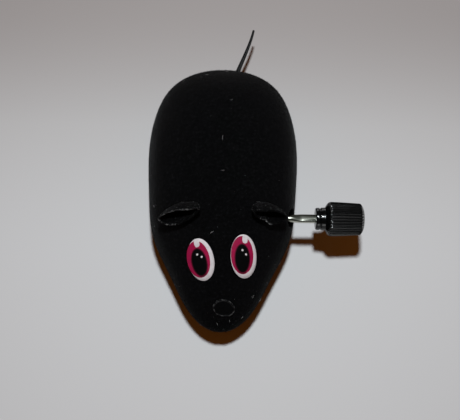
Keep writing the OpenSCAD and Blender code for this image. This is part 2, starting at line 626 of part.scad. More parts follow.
// ---- front roller
module front_roller() {
    w = 5;
    edge = 0.5; // bevel
    bore = front_pin_r + run_gap;
    color(black_col) on_shaft(roller_y, roller_r, -w / 2) rotate_extrude()
        polygon([[bore, 0], [roller_r - edge, 0], [roller_r, edge], [roller_r, w - edge],
            [roller_r - edge, w], [bore, w]]);
}
module front_pin() { color(steel_col) on_shaft(roller_y, roller_r, -5) cylinder(h = 10, r = front_pin_r); }

body_shell();
base_plate();
ear_left();
ear_right();
eye_left();
eye_right();
nose();
tail();
winding_knob();
winding_shaft();
ratchet_wheel();
great_wheel();
ratchet_click();
mainspring();
gear_frame_left();
gear_frame_right();
frame_screws();
idler_pin();
idler_gear();
drive_axle();
drive_pinion();
wheel_hub_left();
wheel_hub_right();
tyre_left();
tyre_right();
front_roller();
front_pin();
body_screws();
gearbox_screws();
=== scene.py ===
"""Clockwork mouse: the looks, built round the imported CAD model."""
import math
import random

import bmesh
import bpy
from mathutils import Matrix, Vector, noise


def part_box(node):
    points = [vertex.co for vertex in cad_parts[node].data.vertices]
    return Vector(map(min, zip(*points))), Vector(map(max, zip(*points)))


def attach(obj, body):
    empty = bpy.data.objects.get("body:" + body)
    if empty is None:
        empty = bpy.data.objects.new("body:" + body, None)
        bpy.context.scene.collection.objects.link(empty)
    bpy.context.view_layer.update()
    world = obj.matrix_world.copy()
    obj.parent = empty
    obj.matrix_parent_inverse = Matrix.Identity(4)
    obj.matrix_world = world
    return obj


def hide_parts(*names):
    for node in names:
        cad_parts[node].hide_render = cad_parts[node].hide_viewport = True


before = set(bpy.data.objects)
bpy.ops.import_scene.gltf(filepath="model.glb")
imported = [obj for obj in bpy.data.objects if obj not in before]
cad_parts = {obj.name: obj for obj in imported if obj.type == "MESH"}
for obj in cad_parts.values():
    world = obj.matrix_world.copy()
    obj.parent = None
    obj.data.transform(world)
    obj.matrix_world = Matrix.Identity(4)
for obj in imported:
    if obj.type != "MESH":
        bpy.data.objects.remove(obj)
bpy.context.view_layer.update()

MM = 0.001
SHARP_ANGLE = math.radians(35)
random.seed(7)


# ---- small helpers

def mix(a, b, t):
    return a + (b - a) * t


def clamp(v):
    return min(max(v, 0.0), 1.0)


def smooth(v):
    v = clamp(v)
    return v * v * (3 - 2 * v)


def new_piece(name, verts, faces, mats, body="mouse", face_mats=None):
    """A mesh object from points in metres, riding on a body, its faces turned outward."""
    mesh = bpy.data.meshes.new(name)
    mesh.from_pydata([tuple(v) for v in verts], [], faces)
    for m in mats:
        mesh.materials.append(m)
    if face_mats:
        mesh.polygons.foreach_set("material_index", face_mats)
    bm = bmesh.new()
    bm.from_mesh(mesh)
    bmesh.ops.recalc_face_normals(bm, faces=bm.faces)
    bm.to_mesh(mesh)
    bm.free()
    mesh.polygons.foreach_set("use_smooth", [True] * len(mesh.polygons))
    mesh.set_sharp_from_angle(angle=SHARP_ANGLE)
    mesh.update()
    piece = bpy.data.objects.new(name, mesh)
    bpy.context.scene.collection.objects.link(piece)
    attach(piece, body)
    return piece


def grid_faces(rows, cols, first=0, flip=False):
    """Quads of a grid of points whose last column joins the first."""
    faces = []
    for r in range(rows - 1):
        for c in range(cols):
            d = (c + 1) % cols
            quad = [first + r * cols + c, first + r * cols + d,
                    first + (r + 1) * cols + d, first + (r + 1) * cols + c]
            faces.append(quad[::-1] if flip else quad)
    return faces


def revolve(profile, sides, radius=lambda a, x, r: r):
    """Points and faces of a profile [(x, r), ...] turned about +X, closed at both ends."""
    verts = []
    for x, r in profile:
        for k in range(sides):
            a = 2 * math.pi * k / sides
            rr = radius(a, x, r)
            verts.append((x, rr * math.cos(a), rr * math.sin(a)))
    faces = grid_faces(len(profile), sides, flip=True)
    for row in (0, len(profile) - 1):
        x = profile[row][0]
        verts.append((x, 0, 0))
        centre = len(verts) - 1
        for k in range(sides):
            a, b = row * sides + k, row * sides + (k + 1) % sides
            faces.append((centre, b, a) if row else (centre, a, b))
    return verts, faces


def rounded(profile, radius, steps=4):
    """The profile with each inner corner rounded by an arc of about that radius."""
    out = [profile[0]]
    for p, q, r in zip(profile, profile[1:], profile[2:]):
        p, q, r = Vector(p), Vector(q), Vector(r)
        cut = min(radius, (p - q).length * 0.45, (r - q).length * 0.45)
        a, b = q + (p - q).normalized() * cut, q + (r - q).normalized() * cut
        for k in range(steps + 1):
            t = k / steps
            out.append(tuple(a * (1 - t) ** 2 + q * 2 * t * (1 - t) + b * t * t))
    return out + [profile[-1]]


def moved(verts, offset):
    return [(v[0] + offset[0], v[1] + offset[1], v[2] + offset[2]) for v in verts]


# ---- materials: procedural, in object coordinates, with the sizes of their detail in millimetres

class Shader:
    """A Principled material with a few shorthands for procedural detail."""

    def __init__(self, name, color, roughness, **sockets):
        self.mat = bpy.data.materials.new(name)
        self.mat.use_nodes = True
        self.mat.diffuse_color = (*color, 1)
        self.tree = self.mat.node_tree
        self.bsdf = self.tree.nodes["Principled BSDF"]
        self.bsdf.inputs["Base Color"].default_value = (*color, 1)
        self.bsdf.inputs["Roughness"].default_value = roughness
        for key, value in sockets.items():
            self.bsdf.inputs[key.replace("_", " ")].default_value = value
        self.coords = self.node("ShaderNodeTexCoord").outputs["Object"]
        self.height = None

    def node(self, kind, **props):
        n = self.tree.nodes.new(kind)
        for key, value in props.items():
            setattr(n, key, value)
        return n

    def link(self, a, b):
        self.tree.links.new(a, b)

    def stretched(self, scale):
        n = self.node("ShaderNodeMapping")
        n.inputs["Scale"].default_value = scale
        self.link(self.coords, n.inputs["Vector"])
        return n.outputs["Vector"]

    def noise(self, size_mm, detail=3.0, roughness=0.55, stretch=(1, 1, 1)):
        n = self.node("ShaderNodeTexNoise")
        n.inputs["Scale"].default_value = 1 / (size_mm * MM)
        n.inputs["Detail"].default_value = detail
        n.inputs["Roughness"].default_value = roughness
        self.link(self.stretched(stretch), n.inputs["Vector"])
        return n.outputs["Fac"]

    def ramp(self, fac, *stops):
        n = self.node("ShaderNodeValToRGB")
        elements = n.color_ramp.elements
        while len(elements) < len(stops):
            elements.new(0.5)
        for element, (pos, color) in zip(elements, stops):
            element.position = pos
            element.color = (*color, 1) if not isinstance(color, float) else (color, color, color, 1)
        self.link(fac, n.inputs["Fac"])
        return n.outputs["Color"]

    def beyond(self, low_mm, high_mm, way=None):
        """0 to 1 between two distances from the middle, all round or along one way."""
        if way:
            n = self.node("ShaderNodeVectorMath", operation="DOT_PRODUCT")
            n.inputs[1].default_value = way
        else:
            n = self.node("ShaderNodeVectorMath", operation="LENGTH")
        self.link(self.coords, n.inputs[0])
        far = self.node("ShaderNodeMapRange", interpolation_type="SMOOTHSTEP")
        far.inputs["From Min"].default_value = low_mm * MM
        far.inputs["From Max"].default_value = high_mm * MM
        self.link(n.outputs["Value"], far.inputs["Value"])
        return far.outputs["Result"]

    def color_from(self, fac, *stops):
        self.link(self.ramp(fac, *stops), self.bsdf.inputs["Base Color"])
        return self

    def roughness_from(self, fac, low, high):
        n = self.node("ShaderNodeMapRange")
        n.inputs["To Min"].default_value = low
        n.inputs["To Max"].default_value = high
        self.link(fac, n.inputs["Value"])
        self.link(n.outputs["Result"], self.bsdf.inputs["Roughness"])
        return self

    def bump(self, fac, depth_mm, strength):
        n = self.node("ShaderNodeBump")
        n.inputs["Strength"].default_value = strength
        n.inputs["Distance"].default_value = depth_mm * MM
        self.link(fac, n.inputs["Height"])
        if self.height:
            self.link(self.height, n.inputs["Normal"])
        self.height = n.outputs["Normal"]
        self.link(self.height, self.bsdf.inputs["Normal"])
        return self


def flock(name, color, tip, speck):
    """Short black pile with a soft sheen and random tone; the brightest fibre ends are painted glints,
    tip times speck.
    """
    s = Shader(name, color, 1.0, Specular_IOR_Level=0.02, Sheen_Weight=0.024, Sheen_Roughness=0.3)
    # painted highlights: the palest noise spots stand for fibre ends catching the light
    painted_glint = tuple(c * speck for c in tip)
    s.color_from(s.noise(0.75, detail=5, roughness=0.75), (0.4, color), (0.58, tip), (0.7, painted_glint))
    return s.bump(s.noise(0.22, detail=2), 0.12, 0.8).bump(s.noise(0.6, detail=3), 0.12, 0.5).mat


def moulded(name, color, roughness, grain, gloss=0.45):
    """Moulded plastic with a fine spark texture and faint handling marks."""
    s = Shader(name, color, roughness, Specular_IOR_Level=gloss)
    s.roughness_from(s.noise(4, detail=5), roughness - 0.08, roughness + 0.12)
    lighter = tuple(c * 1.25 + 0.002 for c in color)
    s.color_from(s.noise(7, detail=4), (0.35, color), (0.75, lighter))
    return s.bump(s.noise(0.18, detail=2), 0.02, grain).mat


def metal(name, color, roughness, stretch=(1, 1, 1), wander=0.1):
    """Drawn or rolled metal: marks along one axis, and roughness that wanders."""
    s = Shader(name, color, roughness, Metallic=1.0)
    marks = s.noise(0.35, detail=4, stretch=stretch)
    s.roughness_from(marks, roughness - wander, roughness + wander * 1.4)
    darker = tuple(c * 0.72 for c in color)
    s.color_from(s.noise(1.6, detail=5, stretch=stretch), (0.3, darker), (0.62, color))
    return s.bump(marks, 0.012, 0.5).mat


def printed(name, color, roughness=0.42):
    """Ink on vinyl with a low gloss and a slight orange-peel surface."""
    s = Shader(name, color, roughness, Specular_IOR_Level=0.16)
    darker = tuple(c * 0.82 for c in color)
    s.color_from(s.noise(1.3, detail=4), (0.25, darker), (0.6, color))
    return s.bump(s.noise(0.8, detail=2), 0.02, 0.35).mat


def rubber(name, color, roughness, gloss=0.4, dust=0.01):
    """Rubber or soft vinyl, paler where dust lies on it."""
    s = Shader(name, color, roughness, Specular_IOR_Level=gloss)
    dusty = tuple(c * 1.9 + dust for c in color)
    s.color_from(s.noise(1.8, detail=6), (0.42, color), (0.8, dusty))
    s.roughness_from(s.noise(2.5, detail=4), roughness - 0.1, roughness + 0.15)
    return s.bump(s.noise(0.3, detail=3), 0.03, 0.4).mat


def cut_edge_with_painted_glints():
    """Where cloth or vinyl was cut through: dark, with pale beads here and there that are painted
    highlights.
    """
    s = Shader("cut_edge_with_painted_glints", (0.006, 0.006, 0.006), 0.8, Specular_IOR_Level=0.03)
    # painted highlights: the two palest stops dot the edge with glints
    s.color_from(s.noise(0.9, detail=4, roughness=0.8), (0.48, (0.0014, 0.0014, 0.0015)),
                 (0.6, (0.05, 0.05, 0.051)), (0.7, (0.2, 0.2, 0.202)))
    return s.mat


def pale_lint():
    s = Shader("lint", (0.35, 0.36, 0.38), 0.9)
    return s.color_from(s.noise(3, detail=2), (0.3, (0.12, 0.12, 0.13)), (0.7, (0.5, 0.5, 0.52))).mat


# speck sets how bright the painted fibre-end glints are: weak on the body, strong on the ears
BLACK_FLOCK = flock("black_flock", (0.0009, 0.0009, 0.001), (0.0018, 0.0018, 0.002), speck=3)
EAR_VELVET = flock("ear_velvet", (0.0007, 0.0007, 0.0008), (0.0013, 0.0013, 0.0014), speck=14)
CUT_EDGE_PAINTED_GLINTS = cut_edge_with_painted_glints()
KNOB_BLACK = moulded("knob_black", (0.0008, 0.0008, 0.0009), 0.17, 0.25, gloss=0.3)
BASE_BLACK = moulded("base_black", (0.012, 0.012, 0.013), 0.5, 0.8)
WHEEL_BLACK = moulded("wheel_black", (0.016, 0.016, 0.017), 0.42, 0.4)
FRAME_WHITE = moulded("frame_white", (0.62, 0.61, 0.57), 0.45, 0.4)
GEAR_NYLON = moulded("gear_nylon", (0.74, 0.72, 0.65), 0.4, 0.3)
TAIL_RUBBER = rubber("tail_rubber", (0.0018, 0.0018, 0.0019), 0.5, gloss=0.12, dust=0.001)
TYRE_RUBBER = rubber("tyre_rubber", (0.012, 0.012, 0.0125), 0.72)
DRAWN_STEEL = metal("drawn_steel", (0.52, 0.53, 0.46), 0.17, stretch=(0.08, 1, 1), wander=0.04)
SCREW_STEEL = metal("screw_steel", (0.5, 0.49, 0.47), 0.34)
SPRING_STEEL = metal("spring_steel", (0.2, 0.23, 0.31), 0.32, stretch=(0.2, 1, 1))
CLICK_BRASS = metal("click_brass", (0.66, 0.47, 0.2), 0.3)
INK_WHITE = printed("ink_white", (0.495, 0.465, 0.474))
INK_PINK = printed("ink_pink", (0.24, 0.0045, 0.04))
INK_DEEP_PINK = printed("ink_deep_pink", (0.075, 0.0025, 0.014))
INK_BLACK = printed("ink_black", (0.0014, 0.0014, 0.0016), 0.3)
NOSE_VINYL = printed("nose_vinyl", (0.0018, 0.0018, 0.002), 0.2)
LINT = pale_lint()


# ---- the body's shape, the same rule as in the CAD model

shell_low, shell_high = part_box("body_shell")
LENGTH = shell_high[1] - shell_low[1]
WIDTH, HEIGHT = 45 * MM, 36 * MM
RIM = shell_low[2]
WALL = 1.6 * MM
NOSE_BELT, RUMP_BELT = 12 * MM, 13 * MM
WIDTH_FULLNESS = (0.8, 0.82, 0.96, 0.985, 1.07, 1.21, 1.48)
BACK_FULLNESS = (0.55, 0.72, 0.845, 0.965, 1.045, 1.035, 0.87)
SECTION_POWER = 2.15
CHIN_TUCK, RUMP_TUCK, SIDE_TUCK = 5.3 * MM, 2.8 * MM, 0.05
OUTER = (LENGTH, WIDTH, HEIGHT)
INNER = (LENGTH - 2 * WALL, WIDTH - 2 * WALL, HEIGHT - WALL)


def curve(values, u):
    """Catmull-Rom curve through equally spaced values."""
    last = len(values) - 1
    p = clamp(u) * last
    i = min(int(p), last - 1)
    t = p - i
    b, c = values[i], values[i + 1]
    a = values[i - 1] if i > 0 else 2 * b - c
    d = values[i + 2] if i + 2 <= last else 2 * c - b
    return b + 0.5 * t * (c - a + t * (2 * a - 5 * b + 4 * c - d + t * (3 * (b - c) + d - a)))


def ellipse(u):
    return 2 * math.sqrt(max(u * (1 - u), 0))


def belt(u):
    return mix(NOSE_BELT, RUMP_BELT, u)


def half_width(g, u):
    return g[1] / 2 * ellipse(u) * curve(WIDTH_FULLNESS, u)


def rise(g, u):
    return (g[2] - belt(0.6)) * ellipse(u) * curve(BACK_FULLNESS, u)


def power(v):
    return math.copysign(abs(v) ** (2 / SECTION_POWER), v)


def back_point(g, u, a):
    """A point over the back: a runs from 0 on the left of the widest line to pi on the right."""
    return Vector((half_width(g, u) * power(math.cos(a)), g[0] * (u - 0.5),
                   belt(u) + rise(g, u) * power(max(math.sin(a), 0))))


def skirt_point(g, u, side, depth):
    d = depth * depth
    return Vector((side * half_width(g, u) * (1 - SIDE_TUCK * d),
                   g[0] * (u - 0.5) + d * mix(CHIN_TUCK, -RUMP_TUCK, u), mix(belt(u), RIM, depth)))


def surface_z(x, y):
    u = y / LENGTH + 0.5
    share = min(abs(x) / max(half_width(OUTER, u), 1e-6), 1)
    return belt(u) + rise(OUTER, u) * (1 - share ** SECTION_POWER) ** (1 / SECTION_POWER)


def surface_point(x, y, lift=0.0):
    d = 0.2 * MM
    normal = Vector((surface_z(x - d, y) - surface_z(x + d, y),
                     surface_z(x, y - d) - surface_z(x, y + d), 2 * d)).normalized()
    return Vector((x, y, surface_z(x, y))) + normal * lift, normal


# ---- body: a fine skin with a real nap, turned in at the rim

STATIONS = 280
ARCS = 170
SKIRTS = 26
INNER_ARCS, INNER_SKIRTS = 8, 4
RIM_ROLL = 0.25 * MM  # how far the turned-in rim hangs below the two skins
SHAFT_Y, SHAFT_Z = (sum(c) / 2 for c in list(zip(*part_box("ratchet_wheel")))[1:])
SHAFT_HOLE_R = 2.8 * MM
NAP = 0.07 * MM
CENTRE = Vector((0, 0, 14 * MM))  # the pile stands away from here
FIBRES, FIBRE_ROOT, FIBRE_THICK = 15000, 0.08 * MM, 0.03 * MM
SPECKS, THREADS = 150, 26
BACK_SHARE = 0.68  # share of the fibres that stand on the back, the rest being on the skirt
HOLE_MARGIN = 0.25 * MM


def nap(p):
    """How far the pile stands at a point, in metres: uneven fibres over soft tracks of brushed nap."""
    fibre = noise.noise(p / (0.55 * MM)) + 0.7 * noise.noise(p / (0.27 * MM))
    brushed = noise.noise(Vector((p.x / (5 * MM), p.y / (9 * MM), p.z / (5 * MM))))
    return NAP * (fibre + 0.6 * brushed)


def skin(g, arcs, skirts, piled):
    """Grid points of one skin: two end points, the arcs over the back, then the skirt's rings."""
    station = [(1 - math.cos(math.pi * i / STATIONS)) / 2 for i in range(STATIONS + 1)]
    points = [Vector((0, g[0] * (u - 0.5), belt(u))) for u in (0.0, 1.0)]
    for i in range(1, STATIONS):
        points += [back_point(g, station[i], math.pi * j / arcs) for j in range(arcs + 1)]
    ring = 2 * STATIONS
    for k in range(1, skirts + 1):
        for a in range(ring):
            i, side = (a, 1) if a <= STATIONS else (ring - a, -1)
            points.append(skirt_point(g, station[i], side, k / skirts))

    def arc_id(i, j):
        return 0 if i == 0 else 1 if i == STATIONS else 2 + (i - 1) * (arcs + 1) + j

    def ring_id(k, a):
        a %= ring
        if k:
            return 2 + (STATIONS - 1) * (arcs + 1) + (k - 1) * ring + a
        return arc_id(a, 0) if a <= STATIONS else arc_id(ring - a, arcs)

    faces = []
    for i in range(1, STATIONS - 1):
        for j in range(arcs):
            faces.append((arc_id(i, j), arc_id(i + 1, j), arc_id(i + 1, j + 1), arc_id(i, j + 1)))
    for j in range(arcs):
        faces.append((0, arc_id(1, j), arc_id(1, j + 1)))
        faces.append((1, arc_id(STATIONS - 1, j + 1), arc_id(STATIONS - 1, j)))
    for k in range(skirts):
        for a in range(ring):
            faces.append((ring_id(k, a), ring_id(k + 1, a), ring_id(k + 1, a + 1), ring_id(k, a + 1)))
    rim = [ring_id(skirts, a) for a in range(ring)]
    if piled:
        points = [p + (p - CENTRE).normalized() * nap(p) for p in points]
    return points, faces, rim


def build_body():
    outer, faces, outer_rim = skin(OUTER, ARCS, SKIRTS, True)
    inner, inner_faces, inner_rim = skin(INNER, INNER_ARCS, INNER_SKIRTS, False)
    first = len(outer)
    faces += [tuple(first + v for v in reversed(f)) for f in inner_faces]
    low = []
    for a, b in zip(outer_rim, inner_rim):
        low.append((outer[a] + inner[b]) / 2 - Vector((0, 0, RIM_ROLL)))
    verts = outer + inner + low
    start = len(outer) + len(inner)
    n = len(outer_rim)
    for k in range(n):
        m = (k + 1) % n
        faces.append((outer_rim[k], start + k, start + m, outer_rim[m]))
        faces.append((start + k, first + inner_rim[k], first + inner_rim[m], start + m))
    piece = new_piece("flocked_body", verts, faces, [BLACK_FLOCK])
    cut_shaft_hole(piece)
    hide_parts("body_shell")


def cut_shaft_hole(piece):
    verts, faces = revolve([(WIDTH / 4, SHAFT_HOLE_R), (WIDTH * 0.75, SHAFT_HOLE_R)], 64)
    cutter = new_piece("shaft_hole_cutter", moved(verts, (0, SHAFT_Y, SHAFT_Z)), faces, [BLACK_FLOCK])
    cut = piece.modifiers.new("shaft_hole", "BOOLEAN")
    cut.object = cutter
    cut.solver = "MANIFOLD"
    shown = piece.evaluated_get(bpy.context.evaluated_depsgraph_get())
    mesh = bpy.data.meshes.new_from_object(shown)
    piece.modifiers.clear()
    piece.data = mesh
    bpy.data.objects.remove(cutter)


# ---- pile: short fibres that stand out of the skin, and the lint that has settled on it

def tetra(verts, faces, root, tip, thick):
    """A fibre as a thin pointed spike with three sides and a base."""
    way = (tip - root).normalized()
    side = way.orthogonal().normalized()
    n = len(verts)
    verts += [root + Matrix.Rotation(2 * math.pi * k / 3, 3, way) @ side * thick for k in range(3)]
    verts.append(tip)
    faces += [(n, n + 2, n + 1), (n, n + 1, n + 3), (n + 1, n + 2, n + 3), (n + 2, n, n + 3)]


def speck(verts, faces, p, r):
    """A grain of dust, or a bead on an ear that carries painted highlights, as an uneven octahedron."""
    n = len(verts)
    for way in ((1, 0, 0), (-1, 0, 0), (0, 1, 0), (0, -1, 0), (0, 0, 1), (0, 0, -1)):
        verts.append(p + Vector(way) * r * random.uniform(0.6, 1.3))
    faces += [(n + a, n + b, n + c) for a in (0, 1) for b in (2, 3) for c in (4, 5)]


def random_place():
    """A random point on the skin, with the outward direction there."""
    while True:
        u = 0.5 + 0.5 * math.sin(random.uniform(-1.5, 1.5))
        if random.random() < BACK_SHARE:
            a = random.uniform(0.02, math.pi - 0.02)
            p = back_point(OUTER, u, a)
            q, r = back_point(OUTER, u + 0.002, a), back_point(OUTER, u, a + 0.01)
            normal = (q - p).cross(r - p).normalized()
        else:
            side, depth = random.choice((1, -1)), random.uniform(0, 0.97)
            p = skirt_point(OUTER, u, side, depth)
            q, r = skirt_point(OUTER, u + 0.002, side, depth), skirt_point(OUTER, u, side, depth + 0.01)
            normal = (q - p).cross(p - r).normalized() * side
        if normal.dot(p - CENTRE) < 0:
            normal = -normal
        from_shaft = math.hypot(p.y - SHAFT_Y, p.z - SHAFT_Z)
        if p.x < 0 or from_shaft > SHAFT_HOLE_R + HOLE_MARGIN:
            return p, normal


def build_pile():
    """The nap's longest fibres, leaning at random."""
    verts, faces = [], []
    for _ in range(FIBRES):
        p, normal = random_place()
        lean = Vector([random.gauss(0, 0.35) for _ in range(3)])
        way = (normal + lean).normalized()
        tip = p + way * random.uniform(0.2, 0.42) * MM
        tetra(verts, faces, p - normal * FIBRE_ROOT, tip, FIBRE_THICK)
    piece = new_piece("flock_fibres", verts, faces, [BLACK_FLOCK])


def build_lint():
    """Specks and short curled threads lying on the pile."""
    verts, faces, links, half_w, high = [], [], 7, 0.022 * MM, 0.035 * MM
    for _ in range(SPECKS):
        p, normal = random_place()
        speck(verts, faces, p + normal * 0.1 * MM, random.uniform(0.025, 0.06) * MM)
    for _ in range(THREADS):
        p, normal = random_place()
        along = normal.orthogonal().normalized()
        along = Matrix.Rotation(random.uniform(0, 6.28), 3, normal) @ along
        bend = random.uniform(-0.35, 0.35)
        step = random.uniform(0.1, 0.22) * MM
        ring = []
        for k in range(links):
            q = p + normal * (0.16 * MM + 0.03 * MM * math.sin(k))
            side = normal.cross(along).normalized()
            n = len(verts)
            verts += [q + side * half_w, q + normal * high, q - side * half_w]
            ring.append(n)
            p = p + along * step
            along = Matrix.Rotation(bend, 3, normal) @ along
        for a, b in zip(ring, ring[1:]):
            faces += [(a + i, a + (i + 1) % 3, b + (i + 1) % 3, b + i) for i in range(3)]
        faces += [(ring[0], ring[0] + 1, ring[0] + 2), (ring[-1] + 2, ring[-1] + 1, ring[-1])]
    piece = new_piece("lint", verts, faces, [LINT])


build_body()
build_pile()
build_lint()


# ---- stickers: closed patches that lie on the body, with the print as thin layers of ink

PATCH_SIDES = 72
PATCH_FLAT = 0.9   # share of the radius at full height
PATCH_FALL = 0.75  # share of the thickness lost at the edge
PATCH_UNDER = 0.05 * MM


def in_plan(mid, size, turn, x, y):
    """The place, from above, of a point given as shares of a turned oval's two radii."""
    dx, dy = size[0] / 2 * x, size[1] / 2 * y
    c, s = math.cos(turn), math.sin(turn)
    return mid[0] + dx * c - dy * s, mid[1] + dx * s + dy * c


def patch(mid, size, turn, lift, thick, shape):
    """Points and faces of a domed oval patch; shape(a), if given, scales its edge."""
    verts, faces, sides = [], [], PATCH_SIDES

    def at(r, a, h):
        k = r * (shape(a) if shape else 1)
        return surface_point(*in_plan(mid, size, turn, k * math.cos(a), k * math.sin(a)), h)[0]

    def dome(r):
        return lift + thick * (1 - PATCH_FALL * smooth((r - PATCH_FLAT) / (1 - PATCH_FLAT)))

    verts.append(at(0, 0, dome(0)))
    radii = [PATCH_FLAT * k / 6 for k in range(1, 7)] + [0.935, 0.97, 0.99, 1.0]
    for r in radii:
        verts += [at(r, 2 * math.pi * k / sides, dome(r)) for k in range(sides)]
    top = len(radii)
    faces += [(0, 1 + k, 1 + (k + 1) % sides) for k in range(sides)]
    faces += grid_faces(top, sides, first=1, flip=True)
    verts += [at(1.0, 2 * math.pi * k / sides, lift - PATCH_UNDER) for k in range(sides)]
    faces += grid_faces(2, sides, first=1 + (top - 1) * sides, flip=True)
    under = len(verts)
    verts.append(at(0, 0, lift - PATCH_UNDER))
    last = 1 + top * sides
    faces += [(under, last + (k + 1) % sides, last + k) for k in range(sides)]
    return verts, faces


def squared(a):
    """Edge of the highlight at the top of an eye: an oval with flatter sides."""
    n = 2.8
    return (abs(math.cos(a)) ** n + abs(math.sin(a)) ** n) ** (-1 / n)


# each layer: name, middle and size as shares of the eye, height over the vinyl in mm, material, shape
PRINT = (
    ("vinyl", (0, 0), (1, 1), 0.0, INK_WHITE, None),
    ("iris", (-0.135, 0.055), (0.85, 0.868), 0.012, INK_PINK, None),
    ("rim", (-0.13, -0.09), (0.63, 0.71), 0.024, INK_DEEP_PINK, None),
    ("pupil", (-0.125, -0.09), (0.56, 0.665), 0.036, INK_BLACK, None),
    ("gleam", (0.07, 0.785), (0.2, 0.185), 0.048, INK_WHITE, squared),
    ("dot_high", (-0.12, 0.28), (0.085, 0.053), 0.05, INK_WHITE, None),
    ("dot_low", (0.15, 0.1), (0.082, 0.051), 0.05, INK_WHITE, None),
)
VINYL_LIFT, VINYL_THICK, INK_THICK, INK_SINK = 0.06 * MM, 0.4 * MM, 0.03 * MM, 0.02 * MM


def build_eye(name, node, mid, size, turn):
    verts, faces, face_mats, mats = [], [], [], []
    for _, place, share, height, mat, shape in PRINT:
        at = in_plan(mid, size, turn, *place)
        layer_size = (size[0] * share[0], size[1] * share[1])
        base = height == 0
        lift = VINYL_LIFT if base else VINYL_THICK + VINYL_LIFT + height * MM - INK_SINK
        thick = VINYL_THICK if base else INK_THICK
        v, f = patch(at, layer_size, turn, lift, thick, shape)
        if mat not in mats:
            mats.append(mat)
        faces += [tuple(i + len(verts) for i in face) for face in f]
        verts += v
        face_mats += [mats.index(mat)] * len(f)
    piece = new_piece(name, verts, faces, mats, face_mats=face_mats)
    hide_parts(node)


EYE_SIZE = (7.12 * MM, 10.89 * MM)
build_eye("sticker_eye_left", "eye_left", (6.34 * MM, -23.12 * MM), EYE_SIZE, math.radians(0.5))
build_eye("sticker_eye_right", "eye_right", (-5.4 * MM, -24.13 * MM), EYE_SIZE, math.radians(17.5))


def build_nose():
    """A black oval with a raised, uneven edge where the vinyl was cut."""
    mid, size, turn = (1.05 * MM, -36.1 * MM), (6.1 * MM, 4.1 * MM), math.radians(-4)
    sides, uneven, under = PATCH_SIDES, 0.07, 0.03
    # share of the radius, height over the body in mm
    profile = [(0, 0.27), (0.3, 0.27), (0.55, 0.26), (0.72, 0.24), (0.78, 0.24), (0.82, 0.28),
               (0.87, 0.42), (0.92, 0.47), (0.96, 0.41), (1.0, 0.24), (1.0, under)]
    verts = [surface_point(*mid, profile[0][1] * MM)[0]]
    for r, h in profile[1:]:
        for k in range(sides):
            a = 2 * math.pi * k / sides
            wander = 1 + uneven * noise.noise(Vector((2 * math.cos(a), 2 * math.sin(a), 4))) * smooth(r)
            place = in_plan(mid, size, turn, r * wander * math.cos(a), r * wander * math.sin(a))
            verts.append(surface_point(*place, h * MM)[0])
    faces = [(0, 1 + k, 1 + (k + 1) % sides) for k in range(sides)]
    faces += grid_faces(len(profile) - 1, sides, first=1, flip=True)
    last = 1 + (len(profile) - 2) * sides
    verts.append(surface_point(*mid, under * MM)[0])
    faces += [(len(verts) - 1, last + (k + 1) % sides, last + k) for k in range(sides)]
    # the cut edge's pale beads make a painted highlight round the nose
    bands = [0] * 5 + [1] * 4  # the outer four rings are the cut edge
    face_mats = [0] * sides + [band for band in bands for _ in range(sides)] + [0] * sides
    piece = new_piece("sticker_nose", verts, faces, [NOSE_VINYL, CUT_EDGE_PAINTED_GLINTS], face_mats=face_mats)
    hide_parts("nose")


build_nose()


# ---- ears: cups of soft sheet, with a rounded cut edge and a little slack in the cloth

EAR_T = 0.5 * MM
EAR_DEPTH = (6 * MM, 3.4 * MM)
EAR_LIFT = (2.5 * MM, 4.7 * MM)
EAR_LEAN = (2.4 * MM, 3 * MM)
EAR_BASE, EAR_PINCH, EAR_DROP, EAR_GAP = 0.34, 0.55, 0.9 * MM, 0.05 * MM
EAR_SLACK = 0.5 * MM
EAR_FOLD = 0.17  # half width of the fold, as an angle
EAR_FIBRES, EAR_BEADS = 1500, 90


